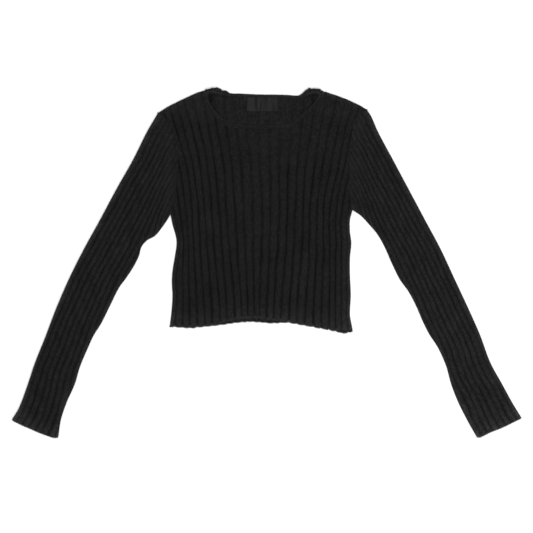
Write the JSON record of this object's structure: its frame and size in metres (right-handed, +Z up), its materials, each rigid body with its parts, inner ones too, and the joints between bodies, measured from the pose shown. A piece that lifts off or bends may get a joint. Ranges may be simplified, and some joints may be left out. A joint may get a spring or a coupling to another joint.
{
  "type": "cropped ribbed sweater",
  "caption": "Cropped long-sleeved sweater in wide vertical rib knit, laid flat: front, back, two sleeves, rolled neckband and blank label.",
  "frame": {"origin": "centre of the bounding box at its base, on the surface that the garment lies on", "axes": "+X across the garment from cuff to cuff, to the right when seen from above with the neck at the top; +Y from the hem towards the neck; +Z up from the surface"},
  "size_m": [0.8914, 0.6128, 0.0082],
  "materials": {
    "rib_knit": "matte black wool-blend rib knit",
    "band_knit": "matte black fine knit, rolled",
    "label_satin": "black woven satin, blank"
  },
  "bodies": {
    "root": {"back": "rib_knit", "front": "rib_knit", "sleeve_wearers_right": "rib_knit", "sleeve_wearers_left": "rib_knit", "neckband": "band_knit", "label": "label_satin"}
  },
  "joints": []
}
